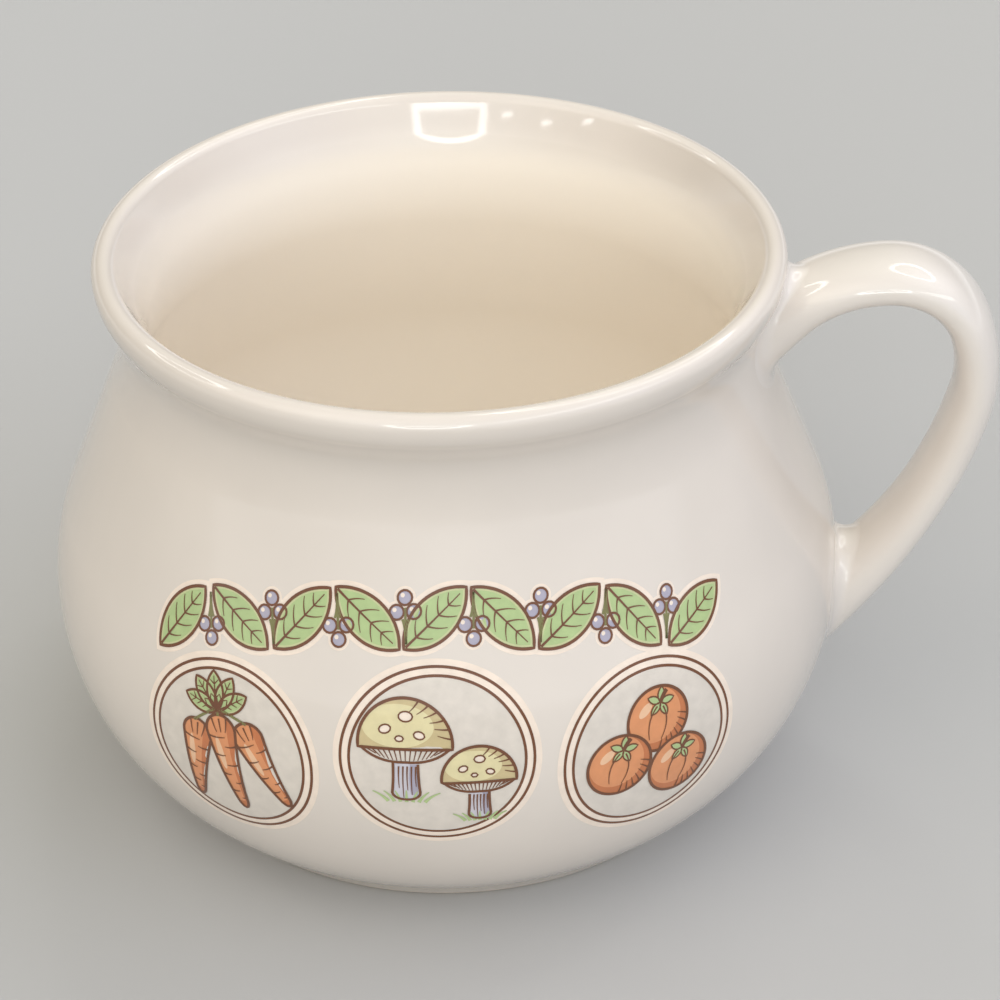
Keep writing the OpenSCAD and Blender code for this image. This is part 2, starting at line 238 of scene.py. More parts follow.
def glaze_nodes(name, colour, mottle=0.02, roughness=0.07, bump=0.06, grain=45):
    """A glossy fired glaze whose colour and face vary a little, as a real one does."""
    mat = bpy.data.materials.new(name)
    mat.use_nodes = True
    tree = mat.node_tree
    shader = tree.nodes["Principled BSDF"]
    shader.inputs["Roughness"].default_value = roughness
    shader.inputs["IOR"].default_value = 1.52
    shader.inputs["Coat Weight"].default_value = coat_weight
    shader.inputs["Coat Roughness"].default_value = 0.03
    place = tree.nodes.new("ShaderNodeTexCoord")
    cloud = tree.nodes.new("ShaderNodeTexNoise")
    cloud.inputs["Scale"].default_value = grain
    cloud.inputs["Detail"].default_value = 3
    tree.links.new(place.outputs["Object"], cloud.inputs["Vector"])
    ramp = tree.nodes.new("ShaderNodeValToRGB")
    for stop, position, share in zip(ramp.color_ramp.elements, (0.3, 0.7), (1 - mottle, 1 + mottle)):
        stop.position = position
        stop.color = [min(1, c * share) for c in colour] + [1]
    tree.links.new(cloud.outputs["Fac"], ramp.inputs["Fac"])
    tree.links.new(ramp.outputs["Color"], shader.inputs["Base Color"])
    ripple = tree.nodes.new("ShaderNodeTexNoise")
    ripple.inputs["Scale"].default_value = 120
    ripple.inputs["Detail"].default_value = 2
    tree.links.new(place.outputs["Object"], ripple.inputs["Vector"])
    relief = tree.nodes.new("ShaderNodeBump")
    relief.inputs["Strength"].default_value = bump
    relief.inputs["Distance"].default_value = 0.0004
    tree.links.new(ripple.outputs["Fac"], relief.inputs["Height"])
    tree.links.new(relief.outputs["Normal"], shader.inputs["Normal"])
    return mat


def bare_clay():
    """The unglazed, slightly gritty clay of the foot ring's resting face."""
    mat = glaze_nodes("bare_clay", (0.72, 0.60, 0.46), mottle=0.08, roughness=0.85, bump=0.8)
    mat.node_tree.nodes["Principled BSDF"].inputs["Coat Weight"].default_value = 0
    return mat


def by_height(tree, high, low, at_high, at_low):
    """A value that goes softly from one height to a lower one."""
    place = tree.nodes.new("ShaderNodeTexCoord")
    split = tree.nodes.new("ShaderNodeSeparateXYZ")
    tree.links.new(place.outputs["Object"], split.inputs["Vector"])
    change = tree.nodes.new("ShaderNodeMapRange")
    change.interpolation_type = "SMOOTHSTEP"
    change.inputs["From Min"].default_value = low / 1000
    change.inputs["From Max"].default_value = high / 1000
    change.inputs["To Min"].default_value = at_low
    change.inputs["To Max"].default_value = at_high
    tree.links.new(split.outputs["Z"], change.inputs["Value"])
    return change.outputs["Result"]


def inner_glaze(rim_colour, painted_lighter_colour):
    """The same glaze on the inside, painted paler below the mouth as painted light that brightens the inside,
    and duller below the throat.
    """
    mouth = (rim_z - 1, rim_z - 9)
    throat = (neck_z + 6, neck_z)
    dull_gloss = 0.1
    mat = glaze_nodes("inner_glaze", rim_colour, bump=0)
    tree = mat.node_tree
    shader = tree.nodes["Principled BSDF"]
    # Below the mouth the colour fades to a paler one: painted light that brightens the inside.
    mix = tree.nodes.new("ShaderNodeMix")
    mix.data_type = "RGBA"
    tree.links.new(by_height(tree, *mouth, 0, 1), mix.inputs["Factor"])
    tree.links.new(tree.nodes["Color Ramp"].outputs["Color"], mix.inputs["A"])
    mix.inputs["B"].default_value = (*painted_lighter_colour, 1)
    tree.links.new(mix.outputs["Result"], shader.inputs["Base Color"])
    gloss = by_height(tree, *throat, plain_gloss, dull_gloss)
    tree.links.new(gloss, shader.inputs["Specular IOR Level"])
    tree.links.new(by_height(tree, *throat, coat_weight, 0), shader.inputs["Coat Weight"])
    return mat


ivory = (0.775, 0.70, 0.625)
glaze = glaze_nodes("ivory_glaze", ivory)
# The inside below the mouth is painted paler than the ivory, as painted light.
inside = inner_glaze(ivory, (0.965, 0.893, 0.793))
# The handle and its fillets get a lighter copy of the ivory glaze: painted light that brightens them.
handle_glaze = glaze_nodes("handle_glaze", (0.80, 0.735, 0.67))
clay = bare_clay()
inks = {
    name: glaze_nodes("ink_" + name, colour, mottle=0.05, grain=500)
    for name, colour in {
        "cream": (0.93, 0.79, 0.665),
        "ground": (0.745, 0.675, 0.595),
        "green": (0.45, 0.57, 0.26),
        "leaf_edge": (0.60, 0.62, 0.33),
        "orange": (0.76, 0.31, 0.135),
        "rust": (0.58, 0.19, 0.07),
        "peach": (0.88, 0.55, 0.34),
        "yellow": (0.78, 0.69, 0.40),
        "straw": (0.62, 0.50, 0.27),
        "lilac": (0.64, 0.61, 0.66),
        "slate": (0.44, 0.41, 0.50),
        "brown": (0.17, 0.062, 0.026),
        "olive": (0.21, 0.20, 0.07),
    }.items()
}


# Meshes

def piece(name, points, faces, materials, stands_for, slot, kinds=None, normals=None):
    """A smooth mesh piece that rides on the mug and stands for one node of the frame."""
    mesh = bpy.data.meshes.new(name)
    mesh.from_pydata([to_metres(p) for p in points], [], faces)
    for mat in materials:
        mesh.materials.append(mat)
    for i, polygon in enumerate(mesh.polygons):
        polygon.use_smooth = True
        polygon.material_index = kinds[i] if kinds else 0
    mesh.validate()
    if normals:
        mesh.normals_split_custom_set_from_vertices(normals)
    obj = bpy.data.objects.new(name, mesh)
    bpy.context.scene.collection.objects.link(obj)
    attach(obj, "root")
    if stands_for:
        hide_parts(stands_for)
    return obj


bowl_sides = 288


def make_bowl():
    """The body: up its wall, over the rim, down the inside, and out again under the foot."""
    middles = [(0, floor_z), (0, foot_hollow)]
    points = []
    rows = []
    for r, z in outer_profile + rim_profile + inner_profile + middles + under_profile:
        sides = bowl_sides if r else 1
        rows.append(list(range(len(points), len(points) + sides)))
        points += [(r * cos(a), r * sin(a), z) for a in (2 * pi * i / sides for i in range(sides))]
    rows.append(rows[0])
    first_inner = len(outer_profile) + len(rim_profile) - 1
    last_inner = first_inner + len(inner_profile)
    first_bare = len(rows) - 3
    faces = []
    kinds = []
    for j, (row, following) in enumerate(zip(rows, rows[1:])):
        for i in range(bowl_sides):
            k = (i + 1) % bowl_sides
            corners = (row[i % len(row)], row[k % len(row)],
                       following[k % len(following)], following[i % len(following)])
            face = tuple(dict.fromkeys(corners))
            if len(face) > 2:
                faces.append(face)
                kinds.append(1 if j >= first_bare else 2 if first_inner <= j <= last_inner else 0)
    return piece("mug_bowl", points, faces, [glaze, clay, inside], "bowl", "glaze", kinds)


# The handle

def strap_at(s):
    """Centre line of the strap after going s along it: distance out, height and heading."""
    x = strap_start[0] - strap_lead * cos(strap_rise)
    z = strap_start[1] - strap_lead * sin(strap_rise)
    heading = strap_rise
    for i, (length, turn) in enumerate(strap_bends):
        go = s if i == len(strap_bends) - 1 else min(s, length)
        bend = radians(turn) * go / length
        chord = go * sin(bend / 2) / (bend / 2) if bend else go
        x += chord * cos(heading + bend / 2)
        z += chord * sin(heading + bend / 2)
        heading += bend
        s -= go
        if s <= 0:
            break
    return x, z, heading


def strap_half(s):
    """Half the strap's thickness after going s along it."""
    up = max(0, 1 - s / strap_swell_up)
    low = max(0, 1 - (strap_len - s) / strap_swell_low)
    return strap_t / 2 + strap_gain_up / 2 * up ** 2 + strap_gain_low / 2 * low ** 2


def oval(a):
    """A superellipse's point on the unit scale: across and up."""
    power = 2 / strap_squareness
    return copysign(abs(sin(a)) ** power, sin(a)), copysign(abs(cos(a)) ** power, cos(a))


def strap_point(s, a):
    """A point of the strap's face, s along it and at angle a round it, from its outer face."""
    x, z, heading = strap_at(s)
    across, up = oval(a)
    lift = strap_half(s) * up
    return Vector((x - sin(heading) * lift, strap_w / 2 * across, z + cos(heading) * lift))


def outside(point):
    """How far a point lies outside the bowl's outer wall, level."""
    return hypot(point.x, point.y) - wall_at(point.z)[0]


def meeting(a, start, end):
    """Where along the strap its line at angle a goes into the wall, between start, inside, and end."""
    for _ in range(30):
        middle = (start + end) / 2
        if outside(strap_point(middle, a)) < 0:
            start = middle
        else:
            end = middle
    return (start + end) / 2


def wall_point(turn, z, lift):
    """The point of the bowl's outer wall at this angle and height, raised by lift, and its normal."""
    r, (out, up) = wall_at(z)
    normal = Vector((out * cos(turn), out * sin(turn), up))
    return Vector((r * cos(turn), r * sin(turn), z)) + normal * lift, normal


def on_wall(point, lift=0.0):
    """The wall's point level with this one, and its normal."""
    return wall_point(atan2(point.y, point.x), point.z, lift)


strap_sides = 96
strap_rings = 150
slip_rows = 14
strap_angles = [2 * pi * i / strap_sides for i in range(strap_sides)]

# Where each line along the strap comes out of the neck's wall, and where it goes into the belly's
surely_out_up = strap_lead + 12
surely_out_low = strap_len - 40
upper_hits = [meeting(a, 0, surely_out_up) for a in strap_angles]
lower_hits = [meeting(a, strap_len, surely_out_low) for a in strap_angles]


def tube_faces(rows):
    """The faces between closed rows of points."""
    n = len(rows[0])
    return [
        (row[i], row[(i + 1) % n], following[(i + 1) % n], following[i])
        for row, following in zip(rows, rows[1:])
        for i in range(n)
    ]


def make_handle():
    """The strap, from just inside the neck's wall to just inside the belly's."""
    points = []
    rows = []
    for j in range(strap_rings):
        share = j / (strap_rings - 1)
        rows.append(list(range(len(points), len(points) + strap_sides)))
        for a, up, low in zip(strap_angles, upper_hits, lower_hits):
            s = (up - strap_sunk) * (1 - share) + (low + strap_sunk) * share
            points.append(strap_point(s, a))
    faces = tube_faces(rows)
    for row, flip in ((rows[0], False), (rows[-1], True)):
        middle = len(points)
        points.append(sum((points[i] for i in row), Vector()) / strap_sides)
        for i in range(strap_sides):
            face = (row[i], middle, row[(i + 1) % strap_sides])
            faces.append(face[::-1] if flip else face)
    return piece("mug_handle", points, faces, [handle_glaze], "handle", "glaze")


def bezier(start, hold_a, hold_b, end, t):
    """A point of a cubic curve."""
    u = 1 - t
    return start * u ** 3 + hold_a * 3 * t * u ** 2 + hold_b * 3 * t * t * u + end * t ** 3


def make_slip(name, node, hits, way, sizes, outer_more, inner_more):
    """The fillet of slip between strap and wall: tangent to both, and sunk a little into each."""
    points = []
    rows = [[] for _ in range(slip_rows + 3)]
    base_reach, base_spread, side_spread = sizes
    base = (base_reach, base_spread, slip_fullness)
    for a, hit in zip(strap_angles, hits):
        outer = max(0, cos(a)) ** 2
        inner = max(0, -cos(a)) ** 2
        reach, spread, fullness = (
            size + outer * gain_out + inner * gain_in
            for size, gain_out, gain_in in zip(base, outer_more, inner_more)
        )
        root = strap_point(hit, a)
        start = strap_point(hit + way * reach, a)
        along = (root - start).normalized()
        ground, normal = on_wall(root)
        away = (root - strap_point(hit, a + pi)) / 2
        away = (away - normal * away.dot(normal)).normalized()
        amount = spread + (side_spread - base_spread) * sin(a) ** 2
        landing, landing_normal = on_wall(ground + away * amount)
        back = ground - landing
        back -= landing_normal * back.dot(landing_normal)
        hold_a = start + along * reach * (1 - fullness)
        hold_b = landing + back * (1 - fullness)
        line = [bezier(start, hold_a, hold_b, landing, j / (slip_rows - 1)) for j in range(slip_rows)]
        line.append(on_wall(landing - back.normalized() * slip_edge, -slip_edge_sunk)[0])
        line.append(on_wall(root, -slip_root_sunk)[0])
        inward = (strap_point(hit + way * reach, a + pi) - start).normalized()
        line.append(start + inward * slip_start_sunk)
        for row, point in zip(rows, line):
            row.append(len(points))
            points.append(point)
    faces = tube_faces(rows + rows[:1])
    if way > 0:
        faces = [face[::-1] for face in faces]
    slip = piece(name, points, faces, [handle_glaze], node, "glaze")
    for edge in slip.data.edges:
        edge.use_edge_sharp = any(set(edge.vertices) <= set(rows[j]) for j in (0, slip_rows - 1))
    return slip


# The print: flat motifs wrapped onto the belly

def wrapped(turn, z, u, v, lift):
    """A motif's point (u, v) on the belly, in a motif standing at an angle round the print and a height."""
    place = degrees(turn) / print_sink_turn
    slope = atan2(-print_sink * 2 * place / print_sink_turn, belly_r * radians(1))
    across = u * cos(slope) - v * sin(slope)
    height = z - print_sink * place ** 2 + u * sin(slope) + v * cos(slope)
    return wall_point(print_turn + turn + asin(across / wall_at(height)[0]), height, lift)


def holds(outline, point):
    """Whether a closed outline has a flat point inside it."""
    x, y = point
    odd = False
    for (x0, y0), (x1, y1) in zip(outline, outline[1:] + outline[:1]):
        if (y0 > y) != (y1 > y) and x < x0 + (y - y0) / (y1 - y0) * (x1 - x0):
            odd = not odd
    return odd


def facing_up(outline):
    """The same outline, turning left."""
    area = sum(x0 * y1 - x1 * y0 for (x0, y0), (x1, y1) in zip(outline, outline[1:] + outline[:1]))
    return outline if area > 0 else outline[::-1]


def resample(path, step, closed=False):
    """The same path with points about a step apart."""
    loop = path + path[:1] if closed else path
    marks = [0]
    for p, q in zip(loop, loop[1:]):
        marks.append(marks[-1] + hypot(q[0] - p[0], q[1] - p[1]))
    count = max(2, round(marks[-1] / step))
    result = []
    j = 0
    for i in range(count if closed else count + 1):
        want = marks[-1] * i / count
        while j < len(marks) - 2 and marks[j + 1] < want:
            j += 1
        share = (want - marks[j]) / (marks[j + 1] - marks[j] or 1)
        p, q = loop[j], loop[j + 1]
        result.append((p[0] + (q[0] - p[0]) * share, p[1] + (q[1] - p[1]) * share))
    return result


class Ink:
    """One layer of the print: shapes gathered into a single thin mesh."""

    thick = 0.03
    cell = 2
    line_step = 0.45

    def __init__(self, name, node, slot, lift, colours):
        self.name = name
        self.node = node
        self.slot = slot
        self.lift = lift
        self.materials = [inks[colour] for colour in colours]
        self.points = []
        self.normals = []
        self.faces = []
        self.kinds = []

    def add(self, turn, z, flat, faces, kinds):
        """A flat mesh, as a thin closed shell on the belly."""
        base = len(self.points)
        n = len(flat)
        for lift in (self.lift + self.thick, self.lift):
            for u, v in flat:
                point, normal = wrapped(turn, z, u, v, lift)
                self.points.append(point)
                self.normals.append(normal)
        edges = {}
        for face, kind in zip(faces, kinds):
            self.faces.append(tuple(base + i for i in face))
            self.faces.append(tuple(base + n + i for i in reversed(face)))
            self.kinds += [kind, kind]
            for i, k in zip(face, face[1:] + face[:1]):
                edges[(i, k)] = kind
        for (i, k), kind in edges.items():
            if (k, i) not in edges:
                self.faces.append((base + k, base + i, base + n + i, base + n + k))
                self.kinds.append(kind)

    def paint(self, turn, z, zones):
        """Filled zones, each (outline, kind), a later one covering the ones before it."""
        points = []
        loops = []
        for outline, _ in zones:
            loops.append(list(range(len(points), len(points) + len(outline))))
            points += [Vector(p) for p in facing_up(outline)]
        lows = [min(p[i] for p in points) for i in (0, 1)]
        highs = [max(p[i] for p in points) for i in (0, 1)]
        for i in range(1, ceil((highs[0] - lows[0]) / self.cell)):
            for j in range(1, ceil((highs[1] - lows[1]) / self.cell)):
                spot = (lows[0] + i * self.cell, lows[1] + j * self.cell)
                if any(holds(outline, spot) for outline, _ in zones):
                    points.append(Vector(spot))
        flat, _, triangles, _, _, owners = delaunay_2d_cdt(points, [], loops, 0, 0.00001)
        faces = []
        kinds = []
        for triangle, owner in zip(triangles, owners):
            kind = zones[max(owner)][1] if owner else None
            if kind is not None:
                faces.append(tuple(triangle))
                kinds.append(kind)
        used = sorted({i for face in faces for i in face})
        index = {old: new for new, old in enumerate(used)}
        self.add(turn, z, [tuple(flat[i]) for i in used], [tuple(index[i] for i in f) for f in faces], kinds)

    def line(self, turn, z, path, width, ends=1.0, tail=1.0, closed=False, behind=(), kind=0):
        """A line along a path, where no outline in behind hides it; ends and tail are shares of its width."""
        path = resample(path, self.line_step, closed)
        runs = [path]
        if behind:
            runs = [[]]
            for p in path + path[:1] if closed else path:
                if any(holds(outline, p) for outline in behind):
                    runs.append([])
                else:
                    runs[-1].append(p)
            closed = False
        for run in runs:
            if len(run) > 2:
                self.stroke(turn, z, run, width, ends, tail, closed, kind)

    def stroke(self, turn, z, path, width, ends, tail, closed, kind):
        """A line that nothing hides, as a flat band."""
        n = len(path)
        flat = []
        for i, p in enumerate(path):
            before = path[i - 1] if closed or i else p
            after = path[(i + 1) % n] if closed or i < n - 1 else p
            heading = Vector((after[0] - before[0], after[1] - before[1])).normalized()
            along = i / (n - 1)
            share = 1 if closed else (1 - (1 - ends) * (2 * along - 1) ** 2) * (1 - (1 - tail) * along)
            half = width / 2 * share
            flat.append((p[0] + heading.y * half, p[1] - heading.x * half))
            flat.append((p[0] - heading.y * half, p[1] + heading.x * half))
        faces = []
        for i in range(0, 2 * n if closed else 2 * n - 2, 2):
            k = (i + 2) % (2 * n)
            faces.append((i, k, k + 1, i + 1))
        self.add(turn, z, flat, faces, [kind] * len(faces))

    def make(self):
        piece(self.name, self.points, self.faces, self.materials, self.node, self.slot, self.kinds,
              self.normals)


def moved(shape, dx=0.0, dy=0.0, turn=0.0, size=1.0):
    """A flat shape turned, scaled and moved."""
    c, s = cos(turn) * size, sin(turn) * size
    return [(dx + x * c - y * s, dy + x * s + y * c) for x, y in shape]


def circle(r, flat=1.0, n=64):
    """A circle, or an oval that is flat times as high as it is wide."""
    return [(r * cos(2 * pi * i / n), r * flat * sin(2 * pi * i / n)) for i in range(n)]


def curve(start, hold, end, steps=12):
    """A bent line from start to end, drawn towards hold."""
    result = []
    for i in range(steps + 1):
        t = i / steps
        a, b, c = (1 - t) ** 2, 2 * t * (1 - t), t * t
        result.append(tuple(a * s + b * h + c * e for s, h, e in zip(start, hold, end)))
    return result


def hatch(x, y, r, a, stops):
    """A short bent line inwards from a round edge; a stop is two shares of its radius and a turn."""
    return curve(*((x + r * sx * cos(a + turn), y + r * sy * sin(a + turn)) for sx, sy, turn in stops), 6)


def leaf_outline(grow=0.0, size=1.0, steps=24):
    """A pointed leaf along +X, centred on its own middle."""
    length = leaf_len * size
    r = length * leaf_round_share
    drop = sqrt(r * r - length * length / 4)
    r += grow
    end = asin(sqrt(r * r - drop * drop) / r)
    top = [(r * sin(a), r * cos(a) - drop) for a in (end - 2 * end * i / steps for i in range(steps + 1))]
    return top + [(x, -y) for x, y in reversed(top[1:-1])]


def root_width(y, length):
    """Half a root's width at a height below its crown."""
    return root_r * max(tip_r_share, 1 + (1 - tip_r_share) * y / (length * tip_len_share))


def root_outline(length, grow=0.0):
    """A tapered root hanging from its round crown at the origin."""
    r = root_r + grow
    crown = [(r * cos(a), r * sin(a)) for a in (pi * i / 24 for i in range(25))]
    tip = root_r * tip_r_share + grow
    low = length * tip_len_share
    corner = -low - (length + grow - low) * 0.7
    return crown + [(-tip, -low), (-tip * 0.6, corner), (0, -length - grow), (tip * 0.6, corner), (tip, -low)]


def root_lit_side(length):
    """The part of a root, from its left edge past its middle, that the drawn light falls on."""
    left_share = 0.95
    right_share = 0.4
    r = root_r * left_share
    crown = [(r * cos(a), r * sin(a)) for a in (radians(64 + 4 * i) for i in range(29))]
    levels = [-length * share / 10 for share in range(10)]
    left = [(-root_width(y, length) * left_share, y) for y in levels[1:]]
    right = [(root_width(y, length) * right_share, y) for y in reversed(levels)]
    return crown + left + right


def cap_outline(r, grow=0.0):
    """A mushroom's cap: a circle cut level just under its middle."""
    cut = -r * cap_cut_share - grow
    r += grow
    end = asin(-cut / r)
    return [(r * cos(a), r * sin(a)) for a in (-end + (pi + 2 * end) * i / 40 for i in range(41))]


def gill_outline(r, grow=0.0):
    """The underside that shows below the cap's level edge."""
    side = r * gill_r_share + grow
    cut = -r * cap_cut_share
    low = cut - r * 0.3 - grow
    hold = cut - r * 0.34 - grow
    right = curve((side, cut + grow), (side * 0.62, hold), (0, low))
    return right + curve((0, low), (-side * 0.62, hold), (-side, cut + grow))[1:]


def stem_outline(r, grow=0.0):
    """A stem, a little wider at its foot."""
    half = r * stem_r_share + grow
    top = -r * stem_gap_share
    foot = -r * (stem_gap_share + stem_len_share) - grow
    left = curve((-half * 0.9, top), (-half * 0.82, (top + foot) / 2), (-half, foot + r * 0.16))
    floor = curve((-half, foot + r * 0.16), (-half * 0.8, foot), (0, foot))[1:]
    low_left = left + floor
    return low_left + [(-x, y) for x, y in reversed(low_left[:-1])]


def draw_leaf(layers, turn, z, place):
    """One leaf of the garland; place moves a flat shape to where the leaf lies."""
    whole = place(leaf_outline())
    layers["green"].paint(turn, z, [(whole, 1), (place(leaf_outline(-leaf_edge_w)), 0)])
    lines = layers["lines"]
    lines.line(turn, z, whole, outline_w, closed=True)
    lines.line(turn, z, place([(-leaf_len * 0.47, 0), (leaf_len * 0.4, 0)]), detail_w * 1.25, tail=0.4)
    for share in leaf_vein_shares:
        reach = (1 - (2 * share + 0.2) ** 2) * leaf_len * 0.17
        for side in (-1, 1):
            start = (leaf_len * share, 0)
            end = (leaf_len * share + reach * 0.95, side * reach)
            hold = (leaf_len * share + reach * 0.35, side * reach * 0.62)
            lines.line(turn, z, place(curve(start, hold, end, 6)), detail_w * 0.85, tail=0.35)


def draw_berries(layers, turn, z, x, side):
    """Three berries on one stalk at x, above the garland's middle or below it by side."""
    lines = layers["lines"]
    places = [(x + dx, side * dy) for dx, dy in berry_places]
    rounds = [moved(circle(berry_r, n=32), *place) for place in places]
    for place in places:
        layers["cover"].paint(turn, z, [(moved(circle(berry_r + berry_halo_w, n=32), *place), 0)])
        stalk = curve((x, -side * stalk_start), (x, side * stalk_hold), place, 8)
        lines.line(turn, z, stalk, detail_w * 1.2, behind=rounds, kind=1)
    for (px, py), berry in zip(places, rounds):
        shine = moved(circle(berry_r * 0.3, n=16), px - berry_r * 0.3, py + berry_r * 0.32)
        layers["berries"].paint(turn, z, [(berry, 0), (shine, 1)])
        lines.line(turn, z, berry, detail_w * 1.1, closed=True)


def draw_garland(layers):
    """Leaves that lean one way and the other in turn, with berries between them."""
    step = garland_span / leaves
    for i in range(leaves):
        turn = step * (i + 0.5 - leaves / 2)
        lean = leaf_lean if i % 2 == 0 else -leaf_lean

        def place(shape):
            return moved(shape, turn=lean)

        layers["cover"].paint(turn, garland_z, [(place(leaf_outline(halo_w)), 0)])
        draw_leaf(layers, turn, garland_z, place)
        if i < leaves - 1:
            draw_berries(layers, turn, garland_z, belly_r * step / 2, -1 if i % 2 == 0 else 1)


def draw_tuft(layers, turn, z):
    """The leaves that fan out above the roots."""
    lines = layers["lines"]
    reach = leaf_len * top_size / 2
    for lean in top_leans:

        def place(shape):
            return moved(moved(shape, reach), 0, top_z, pi / 2 + radians(lean))

        blade = place(leaf_outline(size=top_size))
        layers["green"].paint(turn, z, [(blade, 1), (place(leaf_outline(-top_edge_w, top_size)), 0)])
        lines.line(turn, z, blade, outline_w * 0.8, closed=True)
        lines.line(turn, z, place([(-reach * 0.9, 0), (reach * 0.75, 0)]), detail_w, tail=0.4)
        for share in (-0.35, 0.0, 0.35):
            for side in (-1, 1):
                vein = [(reach * share, 0), (reach * (share + 0.22), side * reach * 0.26)]
                lines.line(turn, z, place(vein), detail_w * 0.75, tail=0.4)


def draw_roots(layers, turn, z):
    """Three roots side by side, the middle one in front, with their creases, tuft and stalks."""
    bodies = {}
    for i in root_order:
        x, y, length = (share * roundel_r for share in root_shares[i])
        bodies[i] = (x, y, length, radians(root_leans[i]))

    def place(i, shape):
        x, y, _, lean = bodies[i]
        return moved(shape, x, y, lean)

    zones = []
    for i in root_order:
        length = bodies[i][2]
        zones.append((place(i, root_outline(length)), 1))
        zones.append((place(i, root_lit_side(length)), 0))
        shine = moved(circle(root_r * 0.2, 5.5, 40), -root_r * 0.36, -length * 0.27, radians(3))
        zones.append((place(i, shine), 2))
    layers["orange"].paint(turn, z, zones)
    lines = layers["lines"]
    front = place(1, root_outline(bodies[1][2]))
    for i in root_order:
        length = bodies[i][2]
        behind = () if i == 1 else (front,)
        lines.line(turn, z, place(i, root_outline(length)), outline_w, closed=True, behind=behind)
        for j, share in enumerate(crease_shares):
            side = 1 if j % 2 else -1
            y = -length * share
            w = side * root_width(y, length)
            crease = curve((w, y), (w * 0.5, y - 0.5), (w * (0.08 if j % 3 else -0.2), y - 0.25), 6)
            lines.line(turn, z, place(i, crease), detail_w, tail=0.35, behind=behind)
        for share in (-0.5, 0, 0.5):
            x = root_r * share
            crown = curve((x, root_r * 0.75), (x * 0.9, root_r * 0.3), (x * 0.6, -root_r * 0.1), 6)
            lines.line(turn, z, place(i, crown), detail_w * 0.9, tail=0.35, behind=behind)
    draw_tuft(layers, turn, z)
    for x, y, _, _ in bodies.values():
        stalk = curve((x, y + root_r * 0.9), (x * 0.6, y + root_r * 1.3), (x * 0.1, top_z + 0.3), 8)
        lines.line(turn, z, stalk, detail_w * 1.5, kind=1)


def draw_mushrooms(layers, turn, z):
    """Two spotted mushrooms in a little grass."""
    lines = layers["lines"]
    for share_x, share_y, share_r in mushroom_shares:
        x, y, r = share_x * roundel_r, share_y * roundel_r, share_r * roundel_r

        def place(shape):
            return moved(shape, x, y)

        cap = place(cap_outline(r))
        gills = place(gill_outline(r))
        stem = place(stem_outline(r))
        lit = place(moved(circle(r * 0.76, 0.62), -r * 0.15, r * 0.4))
        spots = [(place(moved(circle(r * size, 0.72, 32), r * sx, r * sy, radians(tilt))), 2)
                 for sx, sy, size, tilt in cap_spots]
        layers["yellow"].paint(turn, z, [(cap, 1), (lit, 0)] + spots)
        shade = [(x + r * stem_r_share * px, y - r * py) for px, py in stem_shade_shares]
        layers["blue"].paint(turn, z, [(stem, 0), (shade, 1), (gills, 2)])
        lines.line(turn, z, cap, outline_w, closed=True)
        lines.line(turn, z, gills, outline_w * 0.9)
        lines.line(turn, z, stem, outline_w * 0.9, closed=True, behind=(gills, cap))
        for outline, _ in spots:
            lines.line(turn, z, outline, detail_w * 0.8, closed=True)
        for i in range(-7, 8):
            side = i / 8
            top = (x + r * gill_r_share * side, y - r * cap_cut_share - 0.1)
            low = (x + r * 0.7 * side, y - r * (cap_cut_share + 0.29 * sqrt(1 - side ** 2)) + 0.1)
            lines.line(turn, z, [top, low], detail_w * 0.75, tail=0.5)
        for i, reach in enumerate(stem_line_shares):
            px = x + r * stem_r_share * (0.72 - i * 0.3)
            top = y - r * 0.5
            groove = curve((px, top), (px - 0.15, top - r * reach / 2), (px, top - r * reach))
            lines.line(turn, z, groove, detail_w * 0.85, tail=0.4)
        for i in range(6):
            lines.line(turn, z, hatch(x, y, r, radians(8 + i * 13), cap_hatch), detail_w * 0.9, tail=0.35)
        foot = y - r * (stem_gap_share + stem_len_share)
        for i in range(-3, 4):
            end = (x + i * r * 0.24, foot + r * (0.24 - 0.02 * abs(i)))
            blade = curve((x + i * r * 0.13, foot - 0.5), (x + i * r * 0.17, foot + r * 0.1), end, 6)
            layers["sprigs"].line(turn, z, blade, detail_w * 1.9, tail=0.3)


def draw_fruit_top(layers, turn, z, x, y):
    """A star of five small leaves and a stalk."""
    lines = layers["lines"]
    for j in range(5):
        leaf = moved(leaf_outline(size=fruit_leaf_size, steps=10), leaf_len * fruit_leaf_size / 2)
        blade = moved(leaf, x, y, radians(90 + 72 * j))
        layers["sprigs"].paint(turn, z, [(blade, 0)])
        lines.line(turn, z, blade, detail_w * 0.8, closed=True)
    stalk = curve((x, y), (x + 0.2, y + 1.1), (x + 0.9, y + 1.9), 6)
    lines.line(turn, z, stalk, detail_w * 2.2)


def draw_fruit(layers, turn, z):
    """Three round fruit, each drawn in front of the one before."""
    lines = layers["lines"]
    r = fruit_r
    middles = [(x * roundel_r, y * roundel_r) for x, y in fruit_shares]
    rounds = [moved(circle(r), *middle) for middle in middles]
    zones = []
    for i in fruit_order:
        x, y = middles[i]
        zones.append((rounds[i], 1))
        zones.append((moved(circle(r * 0.86), x - r * 0.12, y + r * 0.12), 0))
        zones.append((moved(circle(r * 0.27, 0.5, 32), x - r * 0.47, y + r * 0.3, radians(52)), 2))
    layers["orange"].paint(turn, z, zones)
    for place, i in enumerate(fruit_order):
        x, y = middles[i]
        behind = tuple(rounds[k] for k in fruit_order[place + 1:])
        lines.line(turn, z, rounds[i], outline_w, closed=True, behind=behind)
        for j in range(7):
            line = hatch(x, y, r, radians(-78 + j * 14), fruit_hatch)
            lines.line(turn, z, line, detail_w * 0.9, tail=0.35, behind=behind)
        top = y + r * 0.52
        for side in (-1, 1):
            start = (x + side * 0.5, top - 0.6)
            fold = curve(start, (x + side * r * 0.42, y), (x + side * r * 0.2, y - r * 0.62), 10)
            lines.line(turn, z, fold, detail_w * 0.9, tail=0.35, behind=behind)
        draw_fruit_top(layers, turn, z, x, top)


